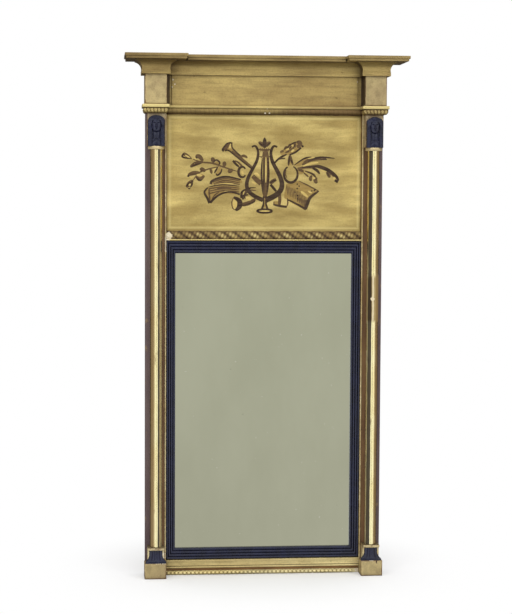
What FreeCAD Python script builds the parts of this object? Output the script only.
import FreeCAD, Part
import math
import os
from types import SimpleNamespace

import Sketcher

# Pier mirror with a broken entablature, side columns, mask capitals and a painted tablet.
#
# Millimetres. +Z is up and the front faces -Y. The origin is on the wall plane y = 0, on the
# centre line, level with the undersides of the plinths. A "depth" is a distance forward of
# the wall plane, so it is -y. Left and right are as seen from the front.

SIZES = [
    ("total_height", 1100, "plinth underside to top of cornice"),
    ("opening_width", 415, "between the two stiles"),
    ("stile_width", 44, "carcase upright, across"),
    ("stile_depth", 32, "carcase upright, wall to face"),
    ("rail_back", 8, "wall plane to the back of the rails"),
    ("rail_thickness", 16, "carcase rails, front to back"),
    ("tenon_length", 14, "rail tenon, into the stile or block"),
    ("tenon_thickness", 8, "rail and stile tenons, front to back"),
    ("tenon_shoulder", 5, "rail tenon, set in from the rail's edges"),
    ("tenon_gap", 3, "between the rail's and the stile's tenons in the block"),
    ("stile_tenon_width", 16, "tenon on the stile's head, across"),
    ("stile_tenon_height", 30, "tenon on the stile's head, into the block"),
    ("stile_tenon_depth", 12, "wall plane to the stile tenon's back"),
    ("plinth_height", 33, "plinth block, and the rail between the plinths"),
    ("block_overhang", 2, "plinth and frieze block past the stile's outer edge"),
    ("block_front", 67, "wall plane to the face of plinths and frieze blocks"),
    ("base_height", 28, "flared base on the plinth"),
    ("base_block_set", 1.5, "base block in from each side of the capital block"),
    ("base_top_width", 24, "flared base at its neck"),
    ("base_foot_width", 44, "flared base at its foot"),
    ("base_flange", 3, "straight edge at the foot of the flared base"),
    ("base_neck_relief", 4, "flared base's neck in front of the base block"),
    ("base_foot_relief", 8.5, "flared base's foot in front of the base block"),
    ("base_cap_height", 5.5, "square cap under the column"),
    ("ring_diameter", 35, "turned astragal, and the square cap each way"),
    ("astragal_height", 6.5, "turned astragal over the column"),
    ("ring_gap", 0.5, "square cap and astragal to the stile behind them"),
    ("column_diameter", 25, "column shaft"),
    ("pin_diameter", 10, "pin turned on each end of the column"),
    ("pin_grip", 15, "pin inside the block that holds it"),
    ("pin_wall", 3, "wood in front of the pin in the gilt blocks"),
    ("capital_height", 69, "gilt block behind the mask"),
    ("mask_margin", 1, "gilt block past each side of the mask"),
    ("mask_headroom", 6, "gilt block over the mask"),
    ("mask_arch", 12, "rise of the headdress's round top"),
    ("mask_ground", 5, "thickness of the headdress's flat"),
    ("mask_lappet", 3, "headdress falls in front of the flat"),
    ("mask_lappet_width", 7, "headdress fall, across"),
    ("mask_lappet_height", 46, "headdress fall"),
    ("mask_face_width", 22, "face, across"),
    ("mask_face_height", 32, "face, chin to brow band"),
    ("mask_face_centre", 43, "face centre over the mask's foot"),
    ("mask_relief", 13, "nose in front of the gilt block"),
    ("leaf_height", 11, "carved leaf moulding under the bead"),
    ("bead_height", 7, "bead of the architrave"),
    ("bead_overhang", 5, "bead past the block face"),
    ("frieze_height", 62, "plain frieze"),
    ("frieze_front", 35, "wall plane to the centre frieze's face"),
    ("groove_width", 4, "sunk line at each end of the centre frieze"),
    ("groove_sink", 2, "depth of that line"),
    ("groove_inset", 7, "frieze block to that line"),
    ("bed_height", 29, "cove and fillet under the cornice slab"),
    ("bed_fillet", 7, "projection and height of the fillet under the cove"),
    ("bed_reach", 20, "projection of the cove's upper edge"),
    ("bed_lip", 1.5, "straight edge over the cove"),
    ("slab_height", 11, "cornice slab"),
    ("slab_overhang", 42, "cornice slab past the face under it"),
    ("slab_step", 2.5, "lower fillet of the slab behind the upper one"),
    ("slab_step_height", 5, "lower fillet of the slab"),
    ("strip_width", 3, "gilt strip on each stile's inner edge, and the stile beside the capital block"),
    ("strip_rise", 2.5, "gilt strip, in front of the stile"),
    ("slip_height", 681, "ebonised slip, outside"),
    ("slip_side", 20, "slip at the sides"),
    ("slip_top", 27, "slip over the plate"),
    ("slip_bottom", 24, "slip under the plate"),
    ("slip_back", 20, "wall plane to the slip's back and the plate's face"),
    ("slip_rise", 10, "slip at its outer edge, front to back"),
    ("slip_inner_rise", 4, "slip at its sight edge, front to back"),
    ("plate_thickness", 4, "mirror plate"),
    ("plate_clearance", 3, "plate to the carcase at its sides and top"),
    ("wedge_width", 18, "blocks that hold the plate and the tablet"),
    ("wedge_length", 40, "the same, along the carcase"),
    ("divider_height", 19.5, "carved moulding under the tablet, with its bead"),
    ("divider_bead", 3.5, "bead along the foot of that moulding"),
    ("divider_front", 34, "wall plane to that bead"),
    ("divider_top", 28, "wall plane to that moulding's upper edge"),
    ("tablet_front", 27, "wall plane to the tablet's face"),
    ("tablet_thickness", 8, "tablet"),
    ("moulding_height", 17.5, "moulding on the bottom rail"),
    ("moulding_band", 5, "flat band at its head"),
    ("moulding_fillet", 4.5, "fillet at its foot"),
    ("moulding_front", 36.5, "wall plane to the band"),
    ("moulding_fillet_front", 33, "wall plane to the fillet"),
    ("pearl_height", 8.5, "strip of pearls along the bottom"),
    ("pearl_front", 34, "wall plane to the pearls"),
    ("board_thickness", 5, "backboards"),
    ("board_lap", 6, "backboards short of the rails' outer edges"),
    ("board_gap", 1, "gap between and beside the backboards"),
    ("nail_diameter", 2, "backboard nails"),
    ("nail_length", 16, "backboard nails under the head"),
    ("nail_head", 5, "nail head diameter"),
    ("nail_head_height", 1.2, "nail head"),
    ("hanger_spread", 300, "between the two hangers"),
    ("hanger_drop", 44, "cornice slab to the hangers' pivots"),
    ("hanger_width", 14, "hanger plate"),
    ("hanger_length", 36, "hanger plate under its pivot"),
    ("hanger_thickness", 1.5, "hanger plate"),
    ("ring_play", 0.4, "hanger ring to its plate"),
    ("knuckle_width", 12, "rolled knuckle of the hanger plate"),
    ("wire_diameter", 3, "hanger ring"),
    ("wire_clearance", 0.06, "ring to knuckle, on the radius"),
    ("ring_span", 22, "hanger ring between its legs' centres"),
    ("ring_leg", 6, "straight leg of the hanger ring"),
    ("screw_diameter", 3, "hanger screws"),
    ("screw_head", 6, "hanger screw head diameter"),
    ("screw_length", 12, "hanger screw past the plate"),
    ("screw_first", 12, "pivot to the upper screw"),
    ("screw_second", 28, "pivot to the lower screw"),
    ("cutter_margin", 5, "how far a cutting shape stands past the piece"),
]

doc = FreeCAD.newDocument("entablature_mirror")
sheet = doc.addObject("Spreadsheet::Sheet", "sizes")
for row, (alias, value, meaning) in enumerate(SIZES, start=1):
    sheet.set(f"A{row}", meaning)
    sheet.set(f"B{row}", str(value))
    sheet.setAlias(f"B{row}", alias)
doc.recompute()


class Dim:
    """A length: its present value, and the expression that ties it to the sheet."""

    def __init__(self, value, text):
        self.value = value
        self.text = text

    def __add__(self, other):
        other = dim(other)
        return Dim(self.value + other.value, f"({self.text} + {other.text})")

    def __sub__(self, other):
        other = dim(other)
        return Dim(self.value - other.value, f"({self.text} - {other.text})")

    def __rsub__(self, other):
        return dim(other) - self

    def __mul__(self, other):
        other = dim(other)
        return Dim(self.value * other.value, f"({self.text} * {other.text})")

    def __truediv__(self, other):
        other = dim(other)
        return Dim(self.value / other.value, f"({self.text} / {other.text})")

    def __neg__(self):
        return Dim(-self.value, f"(0 - {self.text})")

    __radd__ = __add__
    __rmul__ = __mul__


def dim(number):
    if isinstance(number, Dim):
        return number
    return Dim(float(number), str(float(number)))


S = SimpleNamespace(**{alias: Dim(float(sheet.get(alias)), f"sizes.{alias}") for alias, _, _ in SIZES})

# places across, from the centre line
opening = S.opening_width / 2
stile_outer = opening + S.stile_width
block_outer = stile_outer + S.block_overhang
bay = opening + S.stile_width / 2
strip_outer = opening + S.strip_width
capital_half = bay - strip_outer
base_half = capital_half - S.base_block_set

# heights, from the top down and from the plinth up
soffit = S.total_height - S.slab_height
frieze_head = soffit - S.bed_height
frieze_foot = frieze_head - S.frieze_height
bead_foot = frieze_foot - S.bead_height
leaf_foot = bead_foot - S.leaf_height
capital_foot = leaf_foot - S.capital_height
column_head = capital_foot - S.astragal_height
base_head = S.plinth_height + S.base_height
column_foot = base_head + S.base_cap_height
slip_foot = S.plinth_height
slip_head = slip_foot + S.slip_height
tablet_foot = slip_head + S.divider_height

# depths, forward of the wall plane
wall = dim(0)
rail_front = S.rail_back + S.rail_thickness
plate_back = S.slip_back - S.plate_thickness
tablet_back = S.tablet_front - S.tablet_thickness
board_back = S.rail_back - S.board_thickness
column_depth = S.stile_depth + S.ring_gap + S.ring_diameter / 2
backing_front = column_depth + S.pin_diameter / 2 + S.pin_wall

SIDES = ((-1, "left"), (1, "right"))
AXIS_TURN = {
    "x": FreeCAD.Rotation(FreeCAD.Vector(0, 1, 0), 90),
    "y": FreeCAD.Rotation(FreeCAD.Vector(1, 0, 0), 90),
    "z": FreeCAD.Rotation(),
}
nodes = []


def node(piece, label):
    """Names a finished piece, so that it is written to a file of that name."""
    piece.Label = label
    nodes.append(piece)
    return piece


def bind(thing, prop, length):
    thing.setExpression(prop, dim(length).text)


def place(thing, x, depth, z):
    bind(thing, "Placement.Base.x", x)
    bind(thing, "Placement.Base.y", -dim(depth))
    bind(thing, "Placement.Base.z", z)


def across(side, near, far):
    """Two places on one side of the centre line, in rising order of x."""
    return (near, far) if side > 0 else (-far, -near)


def box(name, x, depth, z):
    """A board between two places across, two depths and two heights."""
    board = doc.addObject("Part::Box", name)
    bind(board, "Length", x[1] - x[0])
    bind(board, "Width", depth[1] - depth[0])
    bind(board, "Height", z[1] - z[0])
    place(board, x[0], depth[1], z[0])
    return board


def cylinder(name, axis, radius, length, x, depth, z):
    """A rod that starts at a point and runs along +x, -y (forward) or +z."""
    rod = doc.addObject("Part::Cylinder", name)
    rod.Placement = FreeCAD.Placement(FreeCAD.Vector(), AXIS_TURN[axis])
    bind(rod, "Radius", radius)
    bind(rod, "Height", length)
    place(rod, x, depth, z)
    return rod


def combine(kind, name, base, tool):
    result = doc.addObject(kind, name)
    result.Base = base
    result.Tool = tool
    return result


def common(name, base, tool):
    return combine("Part::Common", name, base, tool)


def cut(name, base, tool):
    return combine("Part::Cut", name, base, tool)


def fuse(name, shapes):
    result = doc.addObject("Part::MultiFuse", name)
    result.Shapes = shapes
    result.Refine = True
    return result


def group(name, solids):
    result = doc.addObject("Part::Compound", name)
    result.Links = solids
    return result


def bend(point, side, tightness):
    """The stretch from this outline point to the next is an arc.

    side is +1 where it bulges to the left of the way travelled and -1 to the right, and its
    radius is tightness times its chord, so 0.5 would be a half circle.
    """
    return (*point, side, tightness)


def draw(sketch, outline):
    """Closes a sketch around the outline, with every corner tied to its expressions."""
    ends = []
    for i, corner in enumerate(outline):
        start, stop = corner[:2], outline[(i + 1) % len(outline)][:2]
        a = FreeCAD.Vector(start[0].value, start[1].value, 0)
        b = FreeCAD.Vector(stop[0].value, stop[1].value, 0)
        if len(corner) == 2:
            geo = sketch.addGeometry(Part.LineSegment(a, b))
            ends.append((geo, 1, 2))
            continue
        side, tightness = corner[2:]
        du, dv = stop[0] - start[0], stop[1] - start[1]
        chord = Dim(math.hypot(du.value, dv.value), f"sqrt({du.text} ^ 2 + {dv.text} ^ 2)")
        radius = chord * tightness
        normal = FreeCAD.Vector(-(b - a).y, (b - a).x, 0).normalize()
        rise = math.sqrt(radius.value ** 2 - chord.value ** 2 / 4)
        centre = (a + b) * 0.5 - normal * rise * side
        first, last = (b, a) if side > 0 else (a, b)
        angles = [math.atan2((p - centre).y, (p - centre).x) for p in (first, last)]
        circle = Part.Circle(centre, FreeCAD.Vector(0, 0, 1), radius.value)
        geo = sketch.addGeometry(Part.ArcOfCircle(circle, *angles))
        ends.append((geo, 2, 1) if side > 0 else (geo, 1, 2))
        index = sketch.addConstraint(Sketcher.Constraint("Radius", geo, radius.value))
        bind(sketch, f"Constraints[{index}]", radius)
    for i, (geo, head, tail) in enumerate(ends):
        after = ends[(i + 1) % len(ends)]
        sketch.addConstraint(Sketcher.Constraint("Coincident", geo, tail, after[0], after[1]))
        for way, place_on in zip(("DistanceX", "DistanceY"), outline[i]):
            tie = Sketcher.Constraint(way, -1, 1, geo, head, place_on.value)
            bind(sketch, f"Constraints[{sketch.addConstraint(tie)}]", place_on)


def sketched_body(name, plane, outline):
    body = doc.addObject("PartDesign::Body", name)
    sketch = body.newObject("Sketcher::SketchObject", f"{name}_outline")
    flat = next(f for f in body.Origin.OriginFeatures if f.Role == plane)
    sketch.AttachmentSupport = [(flat, "")]
    sketch.MapMode = "FlatFace"
    draw(sketch, [tuple(dim(c) for c in p[:2]) + tuple(p[2:]) for p in outline])
    return body, sketch


def prism(name, plane, outline, start, stop):
    """An outline drawn out between two places along the plane's normal."""
    body, sketch = sketched_body(name, plane, outline)
    bind(sketch, "AttachmentOffset.Base.z", start)
    pad = body.newObject("PartDesign::Pad", f"{name}_pad")
    pad.Profile = sketch
    bind(pad, "Length", stop - start)
    return body


def front_prism(name, outline, depth):
    """Outline points are (x, z); the piece runs from one depth forward to another."""
    return prism(name, "XZ_Plane", outline, *depth)


def side_prism(name, outline, x):
    """Outline points are (depth, z); the piece runs across between two places."""
    return prism(name, "YZ_Plane", [(-dim(p[0]), *p[1:]) for p in other_hand(outline)], *x)


def plan_prism(name, outline, z):
    """Outline points are (x, depth); the piece runs up between two heights."""
    return prism(name, "XY_Plane", [(p[0], -dim(p[1]), *p[2:]) for p in other_hand(outline)], *z)


def turned(name, side, outline):
    """A profile of (radius, z) points turned about the column's axis."""
    body, sketch = sketched_body(name, "XZ_Plane", outline)
    bind(sketch, "AttachmentOffset.Base.x", side * bay)
    bind(sketch, "AttachmentOffset.Base.z", column_depth)
    turn = body.newObject("PartDesign::Revolution", f"{name}_turn")
    turn.Profile = sketch
    turn.ReferenceAxis = (sketch, ["V_Axis"])
    turn.Angle = 360
    return body


def other_hand(outline):
    """The same points, with every arc bulging to the other hand, for an axis that is turned over."""
    return [(*p[:2], *((-p[2], p[3]) if len(p) > 2 else ())) for p in outline]


def mirrored(side, outline):
    """The outline as drawn for the right side, or turned over for the left side."""
    if side > 0:
        return outline
    return [(-dim(p[0]), *p[1:]) for p in other_hand(outline)]


# a bead's arc is a little flatter than a half circle, and rises this share of its width
HALF_ROUND = 0.52
BEAD_RISE = HALF_ROUND - math.sqrt(HALF_ROUND ** 2 - 0.25)


def backboards_and_nails():
    nails = []
    nail_rows = (S.plinth_height / 2, slip_head + S.divider_height / 2)
    for column, share in enumerate((-0.75, -0.25, 0.25, 0.75)):
        for line, z in enumerate(nail_rows):
            name = f"nail_{column}_{line}"
            x = opening * share
            shank = cylinder(f"{name}_shank", "y", S.nail_diameter / 2, S.nail_length, x, board_back, z)
            head = cylinder(f"{name}_head", "y", S.nail_head / 2, S.nail_head_height,
                            x, board_back - S.nail_head_height, z)
            nails.append(fuse(name, [shank, head]))
    nails = node(group("backboard_nails", nails), "backboard_nails")
    for side, hand in SIDES:
        x = across(side, S.board_gap / 2, opening - S.board_gap)
        z = (S.board_lap, tablet_foot - S.board_lap)
        board = box(f"{hand}_board_blank", x, (board_back, S.rail_back), z)
        node(cut(f"{hand}_backboard", board, nails), f"{hand}_backboard")
    return nails


def hangers():
    """Two ring hangers on the back of the top rail; returns the screws that hold them."""
    pivot_z = soffit - S.hanger_drop
    plate_face = S.rail_back - S.hanger_thickness
    wire = S.wire_diameter / 2
    pivot_depth = plate_face - S.ring_play - wire
    bore = wire + S.wire_clearance
    # the knuckle's wall reaches back over the play and well into the plate that it is rolled from
    knuckle_wall = S.ring_play + S.hanger_thickness * 0.6
    screws = []
    for side, hand in SIDES:
        x = S.hanger_spread / 2 * side
        own_screws = []
        for number, drop in enumerate((S.screw_first, S.screw_second)):
            name = f"{hand}_screw_{number}"
            z = pivot_z - drop
            head = doc.addObject("Part::Cone", f"{name}_head")
            head.Placement = FreeCAD.Placement(FreeCAD.Vector(), AXIS_TURN["y"])
            bind(head, "Radius1", S.screw_head / 2)
            bind(head, "Radius2", S.screw_diameter / 2)
            bind(head, "Height", S.hanger_thickness)
            place(head, x, plate_face, z)
            shank = cylinder(f"{name}_shank", "y", S.screw_diameter / 2, S.screw_length, x, S.rail_back, z)
            own_screws.append(fuse(name, [head, shank]))
        screws += own_screws

        leaf = box(f"{hand}_hanger_leaf", (x - S.hanger_width / 2, x + S.hanger_width / 2),
                   (plate_face, S.rail_back), (pivot_z - S.hanger_length, pivot_z))
        start = x - S.knuckle_width / 2
        knuckle = cylinder(f"{hand}_hanger_knuckle", "x", bore + knuckle_wall, S.knuckle_width,
                           start, pivot_depth, pivot_z)
        solid = fuse(f"{hand}_hanger_solid", [leaf, knuckle])
        hole = cylinder(f"{hand}_hanger_bore", "x", bore, S.hanger_width + S.cutter_margin * 2,
                        x - S.hanger_width / 2 - S.cutter_margin, pivot_depth, pivot_z)
        tools = group(f"{hand}_hanger_tools", [hole, *own_screws])
        node(cut(f"{hand}_hanger_plate", solid, tools), f"{hand}_hanger_plate")

        half = S.ring_span / 2
        parts = [cylinder(f"{hand}_ring_bar", "x", wire, S.ring_span, x - half, pivot_depth, pivot_z)]
        for end, way in (("near", -1), ("far", 1)):
            corner = doc.addObject("Part::Sphere", f"{hand}_ring_corner_{end}")
            bind(corner, "Radius", wire)
            place(corner, x + half * way, pivot_depth, pivot_z)
            leg = cylinder(f"{hand}_ring_leg_{end}", "z", wire, S.ring_leg,
                           x + half * way, pivot_depth, pivot_z - S.ring_leg)
            parts += [corner, leg]
        bow = doc.addObject("Part::Torus", f"{hand}_ring_bow")
        bow.Placement = FreeCAD.Placement(FreeCAD.Vector(), FreeCAD.Rotation(FreeCAD.Vector(1, 0, 0), -90))
        bow.Angle3 = 180
        bind(bow, "Radius1", half)
        bind(bow, "Radius2", wire)
        place(bow, x, pivot_depth, pivot_z - S.ring_leg)
        node(fuse(f"{hand}_hanger_ring", [*parts, bow]), f"{hand}_hanger_ring")
    return node(group("hanger_screws", screws), "hanger_screws")


def rail(name, z, tenon_z, fixings):
    """A carcase rail with a stub tenon on each end, pierced by the fixings driven into it."""
    middle = S.rail_back + S.rail_thickness / 2
    body = box(f"{name}_board", (-opening, opening), (S.rail_back, rail_front), z)
    reach = opening + S.tenon_length
    thick = (middle - S.tenon_thickness / 2, middle + S.tenon_thickness / 2)
    tenons = box(f"{name}_tenons", (-reach, reach), thick,
                 (tenon_z[0] + S.tenon_shoulder, tenon_z[1] - S.tenon_shoulder))
    solid = fuse(f"{name}_solid", [body, tenons])
    return node(cut(name, solid, fixings), name)


def carcase():
    nails = backboards_and_nails()
    screws = hangers()
    low, mid = (dim(0), S.plinth_height), (slip_head, tablet_foot)
    bottom = rail("bottom_rail", low, low, nails)
    middle = rail("middle_rail", mid, mid, nails)
    top = rail("top_rail", (leaf_foot, soffit), (frieze_foot, soffit), screws)
    lower_rails = group("lower_rails", [bottom, middle])
    tenon_depth = (S.stile_tenon_depth, S.stile_tenon_depth + S.tenon_thickness)
    tenon_near = opening + S.tenon_length + S.tenon_gap
    tenon_across = (tenon_near, tenon_near + S.stile_tenon_width)
    for side, hand in SIDES:
        post = box(f"{hand}_stile_post", across(side, opening, stile_outer), (wall, S.stile_depth),
                   (dim(0), frieze_foot))
        tenon = box(f"{hand}_stile_tenon", across(side, *tenon_across), tenon_depth,
                    (frieze_foot, frieze_foot + S.stile_tenon_height))
        solid = fuse(f"{hand}_stile_solid", [post, tenon])
        stile = node(cut(f"{hand}_stile", solid, lower_rails), f"{hand}_stile")
        block = box(f"{hand}_block_blank", across(side, opening, block_outer), (wall, S.block_front),
                    (frieze_foot, soffit))
        joints = group(f"{hand}_block_joints", [stile, top])
        node(cut(f"{hand}_frieze_block", block, joints), f"{hand}_frieze_block")


def frieze_board():
    board = box("frieze_blank", (-opening, opening), (rail_front, S.frieze_front), (frieze_foot, soffit))
    lines = []
    for side, hand in SIDES:
        far = opening - S.groove_inset
        x = across(side, far - S.groove_width, far)
        depth = (S.frieze_front - S.groove_sink, S.frieze_front + S.cutter_margin)
        lines.append(box(f"{hand}_frieze_line", x, depth, (frieze_foot, frieze_head)))
    node(cut("frieze_board", board, group("frieze_lines", lines)), "frieze_board")


def bed_profile(offset):
    """Fillet and cove under the cornice; offset turns a projection into a place."""
    return [
        (offset(0), frieze_head),
        (offset(S.bed_fillet), frieze_head),
        bend((offset(S.bed_fillet), frieze_head + S.bed_fillet), 1, 0.62),
        (offset(S.bed_reach), soffit - S.bed_lip),
        (offset(S.bed_reach), soffit),
        (offset(0), soffit),
    ]


def mitred(name, length, plan):
    """Cuts a length of moulding to the plan of its mitred ends."""
    z = (frieze_head - S.cutter_margin, soffit + S.cutter_margin)
    node(common(name, length, plan_prism(f"{name}_plan", plan, z)), name)


def bed_mouldings():
    """The moulding follows the wall, the blocks and the recessed centre in seven lengths."""
    reach = S.bed_reach
    face, front = S.frieze_front, S.block_front
    length = side_prism("bed_centre_length", bed_profile(lambda o: face + o), (-opening, opening))
    mitred("bed_centre", length, [(-opening, face), (opening, face),
                                  (opening - reach, face + reach), (-opening + reach, face + reach)])
    for side, hand in SIDES:
        name = f"{hand}_bed_front"
        x = across(side, opening - reach, block_outer + reach)
        length = side_prism(f"{name}_length", bed_profile(lambda o: front + o), x)
        mitred(name, length, mirrored(side, [
            (opening, front), (block_outer, front),
            (block_outer + reach, front + reach), (opening - reach, front + reach)]))

        name = f"{hand}_bed_inner"
        inward = other_hand(bed_profile(lambda o: opening - o))
        length = front_prism(f"{name}_length", mirrored(side, inward), (face, front + reach))
        mitred(name, length, mirrored(side, [
            (opening, face), (opening, front),
            (opening - reach, front + reach), (opening - reach, face + reach)]))

        name = f"{hand}_bed_outer"
        outward = bed_profile(lambda o: block_outer + o)
        length = front_prism(f"{name}_length", mirrored(side, outward), (wall, front + reach))
        mitred(name, length, mirrored(side, [
            (block_outer, wall), (block_outer, front),
            (block_outer + reach, front + reach), (block_outer + reach, wall)]))


def cornice_slabs():
    """Three lengths of slab, each with a lower fillet set behind the upper one."""
    step_head = soffit + S.slab_step_height
    top = S.total_height
    inner, outer = opening - S.slab_overhang, block_outer + S.slab_overhang
    step = S.slab_step
    for side, hand in SIDES:
        front = S.block_front + S.slab_overhang
        upper = box(f"{hand}_slab_upper", across(side, inner, outer), (wall, front), (step_head, top))
        lower = box(f"{hand}_slab_lower", across(side, inner + step, outer - step),
                    (wall, front - step), (soffit, step_head))
        node(fuse(f"{hand}_cornice_slab", [upper, lower]), f"{hand}_cornice_slab")
    front = S.frieze_front + S.slab_overhang
    upper = box("centre_slab_upper", (-inner, inner), (wall, front), (step_head, top))
    lower = box("centre_slab_lower", (-inner - step, inner + step), (wall, front - step), (soffit, step_head))
    node(fuse("centre_cornice_slab", [upper, lower]), "centre_cornice_slab")


def architrave_profile(offset):
    """Leaf moulding and bead on an edge that faces left, from the foot up."""
    root = S.bead_overhang - S.bead_height * BEAD_RISE
    leaf_set = S.block_overhang * 0.75
    return [
        bend((offset(-leaf_set), leaf_foot), 1, 0.75),
        bend((offset(root), bead_foot), 1, HALF_ROUND),
        (offset(root), frieze_foot),
    ]


def downward(profile):
    """The same edge travelled from the head down, bulging to the same hand of the new way."""
    points = [p[:2] for p in reversed(profile)]
    bends = [p[2:] for p in reversed(profile[:-1])] + [()]
    return [(*p, *b) for p, b in zip(points, bends)]


def architrave():
    """A moulded cap on each capital, a length between the caps, and a return on each side."""
    caps = []
    ahead = S.block_front + S.bead_overhang + S.cutter_margin
    for side, hand in SIDES:
        inner = architrave_profile(lambda o: opening - o)
        outer = downward(architrave_profile(lambda o: block_outer + o))
        seen = front_prism(f"{hand}_cap_front", mirrored(side, inner + outer), (S.stile_depth, ahead))
        edge = other_hand(architrave_profile(lambda o: S.block_front + o))
        back = [(S.stile_depth, frieze_foot), (S.stile_depth, leaf_foot)]
        width = across(side, opening - S.bead_overhang - S.cutter_margin,
                       block_outer + S.bead_overhang + S.cutter_margin)
        flank = side_prism(f"{hand}_cap_side", edge + back, width)
        caps.append(node(common(f"{hand}_cap", seen, flank), f"{hand}_cap"))

        start = [(stile_outer, leaf_foot), (stile_outer, frieze_foot)]
        node(front_prism(f"{hand}_cap_return", mirrored(side, start + outer), (wall, S.stile_depth)),
             f"{hand}_cap_return")
    edge = other_hand(architrave_profile(lambda o: S.frieze_front + o))
    back = [(rail_front, frieze_foot), (rail_front, leaf_foot)]
    length = side_prism("architrave_length", edge + back, (-opening, opening))
    node(cut("architrave", length, group("cap_pair", caps)), "architrave")


def ring_outline(foot, height):
    """A round-edged turned ring around the column's pin."""
    pin, edge = S.pin_diameter / 2, S.ring_diameter / 2 - height * BEAD_RISE
    return [(pin, foot), bend((edge, foot), -1, HALF_ROUND), (edge, foot + height), (pin, foot + height)]


def columns():
    pin, shaft, edge = S.pin_diameter / 2, S.column_diameter / 2, S.ring_diameter / 2
    low, high = base_head - S.pin_grip, capital_foot + S.pin_grip
    for side, hand in SIDES:
        column = node(turned(f"{hand}_column", side, [
            (0, low), (pin, low), (pin, column_foot), (shaft, column_foot),
            (shaft, column_head), (pin, column_head), (pin, high), (0, high)]), f"{hand}_column")
        square = box(f"{hand}_base_cap_blank", across(side, bay - edge, bay + edge),
                     (column_depth - edge, column_depth + edge), (base_head, column_foot))
        node(cut(f"{hand}_base_cap", square, column), f"{hand}_base_cap")
        node(turned(f"{hand}_astragal", side, ring_outline(column_head, S.astragal_height)),
             f"{hand}_astragal")

        block = box(f"{hand}_base_blank", across(side, bay - base_half, bay + base_half),
                    (S.stile_depth, backing_front), (S.plinth_height, base_head))
        node(cut(f"{hand}_base_block", block, column), f"{hand}_base_block")
        block = box(f"{hand}_capital_blank", across(side, bay - capital_half, bay + capital_half),
                    (S.stile_depth, backing_front), (capital_foot, leaf_foot))
        node(cut(f"{hand}_capital_block", block, column), f"{hand}_capital_block")

        node(box(f"{hand}_plinth", across(side, opening, block_outer), (S.stile_depth, S.block_front),
                 (dim(0), S.plinth_height)), f"{hand}_plinth")


def flared_bases():
    """Ebonised base in front of each base block, hollow-sided and spreading to its foot."""
    flange = S.plinth_height + S.base_flange
    neck, foot = S.base_top_width / 2, S.base_foot_width / 2
    sweep = 0.75
    for side, hand in SIDES:
        x = side * bay
        seen = front_prism(f"{hand}_base_front", [
            (x - foot, S.plinth_height), bend((x - foot, flange), -1, sweep), (x - neck, base_head),
            bend((x + neck, base_head), -1, sweep), (x + foot, flange), (x + foot, S.plinth_height)],
            (backing_front, backing_front + S.base_foot_relief + S.cutter_margin))
        toe = backing_front + S.base_foot_relief
        flank = side_prism(f"{hand}_base_side", [
            (toe, S.plinth_height), bend((toe, flange), 1, sweep),
            (backing_front + S.base_neck_relief, base_head),
            (backing_front, base_head), (backing_front, S.plinth_height)],
            (x - foot - S.cutter_margin, x + foot + S.cutter_margin))
        node(common(f"{hand}_base", seen, flank), f"{hand}_base")


def ellipsoid(name, radii, x, depth, z):
    shape = doc.addObject("Part::Ellipsoid", name)
    bind(shape, "Radius2", radii[0])
    bind(shape, "Radius3", radii[1])
    bind(shape, "Radius1", radii[2])
    shape.Angle1 = -90
    shape.Angle2 = 90
    shape.Angle3 = 360
    place(shape, x, depth, z)
    return shape


def masks():
    """A face between the falls of a round-topped headdress, in relief on each capital block."""
    half = capital_half - S.mask_margin
    crown = leaf_foot - S.mask_headroom
    spring = crown - S.mask_arch
    ground = backing_front + S.mask_ground
    falls = ground + S.mask_lappet
    nose = backing_front + S.mask_relief
    arch_tightness = 0.5417
    for side, hand in SIDES:
        x = side * bay
        parts = [front_prism(f"{hand}_mask_flat", [
            (x - half, capital_foot), bend((x - half, spring), 1, arch_tightness),
            (x + half, spring), (x + half, capital_foot)], (backing_front, ground))]
        for name, way in (("near", -1), ("far", 1)):
            edge = x + half * way
            inside = edge - S.mask_lappet_width * way
            span = (inside, edge) if way > 0 else (edge, inside)
            parts.append(box(f"{hand}_mask_fall_{name}", span, (ground, falls),
                             (capital_foot, capital_foot + S.mask_lappet_height)))
        parts.append(ellipsoid(f"{hand}_mask_face", (
            S.mask_face_width / 2, nose - ground, S.mask_face_height / 2),
            x, ground, capital_foot + S.mask_face_centre))
        parts.append(ellipsoid(f"{hand}_mask_breast", (
            half - S.mask_lappet_width, falls - backing_front, S.mask_face_centre / 2),
            x, backing_front, capital_foot))
        solid = fuse(f"{hand}_mask_solid", parts)
        room = box(f"{hand}_mask_room", (x - half, x + half), (backing_front, nose), (capital_foot, crown))
        node(common(f"{hand}_mask", solid, room), f"{hand}_mask")


def reeded(outer, inner, reeds=4):
    """Points of a reeded slope between two corners of a slip, without its last corner."""
    points = []
    for i in range(reeds):
        share = i / reeds
        spot = tuple(a + (b - a) * share for a, b in zip(outer, inner))
        points.append(spot)
    return points


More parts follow.
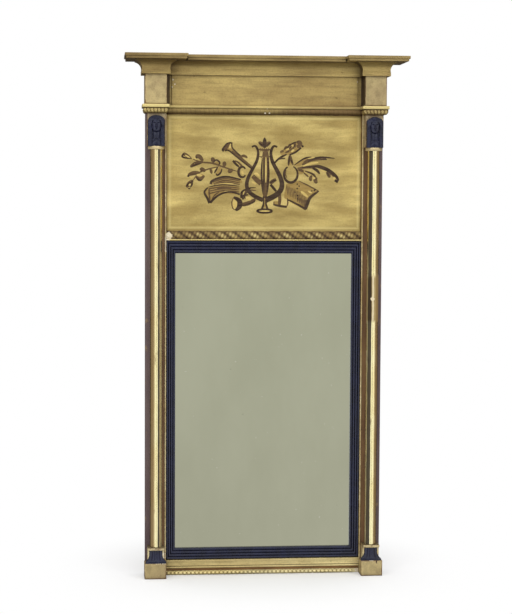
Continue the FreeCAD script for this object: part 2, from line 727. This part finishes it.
def slips():
    """Four reeded lengths around the plate, mitred at the corners."""
    back, high, low = S.slip_back, S.slip_back + S.slip_rise, S.slip_back + S.slip_inner_rise
    sight = opening - S.slip_side
    sight_foot, sight_head = slip_foot + S.slip_bottom, slip_head - S.slip_top
    depth = (back - S.cutter_margin, high + S.cutter_margin)
    roundness = 0.6
    for side, hand in SIDES:
        name = f"{hand}_slip"
        slope = [bend(p, -1, roundness) for p in reeded((opening, high), (sight, low))]
        outline = [(opening, back), *slope, (sight, low), (sight, back)]
        length = plan_prism(f"{name}_length", mirrored(side, outline), (slip_foot, slip_head))
        ends = front_prism(f"{name}_ends", mirrored(side, [
            (opening, slip_foot), (opening, slip_head), (sight, sight_head), (sight, sight_foot)]), depth)
        node(common(name, length, ends), name)
    for name, edge, lip, hand in (("top_slip", slip_head, sight_head, 1),
                                  ("bottom_slip", slip_foot, sight_foot, -1)):
        slope = [bend(p, hand, roundness) for p in reeded((high, edge), (low, lip))]
        outline = [(back, edge), *slope, (low, lip), (back, lip)]
        length = side_prism(f"{name}_length", outline, (-opening, opening))
        ends = front_prism(f"{name}_ends", [(-opening, edge), (opening, edge), (sight, lip), (-sight, lip)],
                           depth)
        node(common(name, length, ends), name)


def glass_and_tablet():
    half_plate = opening - S.plate_clearance
    node(box("mirror_plate", (-half_plate, half_plate), (plate_back, S.slip_back),
             (slip_foot, slip_head - S.plate_clearance)), "mirror_plate")
    node(box("tablet", (-opening, opening), (tablet_back, S.tablet_front), (tablet_foot, leaf_foot)),
         "tablet")

    plate_wedges, tablet_wedges = [], []
    length = S.wedge_length
    behind_plate = (S.rail_back, plate_back)
    behind_tablet = (S.rail_back, tablet_back)
    tablet_edges = ((tablet_foot, tablet_foot + S.wedge_width), (leaf_foot - S.wedge_width, leaf_foot))
    for side, hand in SIDES:
        x = across(side, opening - S.wedge_width, opening)
        for number, share in enumerate((0.15, 0.5, 0.85)):
            foot = slip_foot + S.slip_height * share - length / 2
            plate_wedges.append(box(f"{hand}_plate_wedge_{number}", x, behind_plate, (foot, foot + length)))
        middle = opening / 2 * side
        along = (middle - length / 2, middle + length / 2)
        plate_wedges.append(box(f"{hand}_plate_wedge_top", along, behind_plate,
                                (slip_head - S.wedge_width, slip_head)))
        for number, z in enumerate(tablet_edges):
            tablet_wedges.append(box(f"{hand}_tablet_wedge_{number}", along, behind_tablet, z))
    node(group("plate_wedges", plate_wedges), "plate_wedges")
    node(group("tablet_wedges", tablet_wedges), "tablet_wedges")


def gilt_mouldings():
    """Strips beside the opening, the carved moulding under the tablet, and the bottom rail's mouldings."""
    for side, hand in SIDES:
        root = S.stile_depth + S.strip_rise - S.strip_width * BEAD_RISE
        outline = [(opening, S.stile_depth), bend((opening, root), 1, HALF_ROUND),
                   (strip_outer, root), (strip_outer, S.stile_depth)]
        node(plan_prism(f"{hand}_gilt_strip", mirrored(side, outline), (S.plinth_height, leaf_foot)),
             f"{hand}_gilt_strip")

    bead_head = slip_head + S.divider_bead
    root = S.divider_front - S.divider_bead * BEAD_RISE
    node(side_prism("tablet_moulding", [
        (rail_front, slip_head), bend((root, slip_head), -1, HALF_ROUND),
        bend((root, bead_head), -1, 0.8), (S.divider_top, tablet_foot),
        (rail_front, tablet_foot)], (-opening, opening)), "tablet_moulding")

    foot = S.plinth_height - S.moulding_height
    fillet_head = foot + S.moulding_fillet
    band_foot = S.plinth_height - S.moulding_band
    node(side_prism("bottom_moulding", [
        (rail_front, foot), (S.moulding_fillet_front, foot),
        bend((S.moulding_fillet_front, fillet_head), 1, 0.7), (S.moulding_front, band_foot),
        (S.moulding_front, S.plinth_height), (rail_front, S.plinth_height)], (-opening, opening)),
        "bottom_moulding")

    root = S.pearl_front - S.pearl_height * BEAD_RISE
    node(side_prism("pearl_strip", [
        (rail_front, 0), bend((root, 0), -1, HALF_ROUND), (root, S.pearl_height),
        (rail_front, S.pearl_height)], (-opening, opening)), "pearl_strip")


carcase()
frieze_board()
bed_mouldings()
cornice_slabs()
architrave()
columns()
flared_bases()
masks()
slips()
glass_and_tablet()
gilt_mouldings()

doc.recompute()
failed = [o.Name for o in doc.Objects if "Invalid" in o.State or "Error" in o.State]
failed += [n.Label for n in nodes if n.Shape.isNull() or not n.Shape.isValid()]
if failed:
    raise RuntimeError(f"pieces that did not build: {failed}")

os.makedirs("parts", exist_ok=True)
for piece in nodes:
    piece.Shape.exportStep(f"parts/{piece.Label}.step")
    print(f"{piece.Label:24s} {len(piece.Shape.Solids)} solid {piece.Shape.Volume / 1000:9.2f} cm3")
print(len(nodes), "nodes")
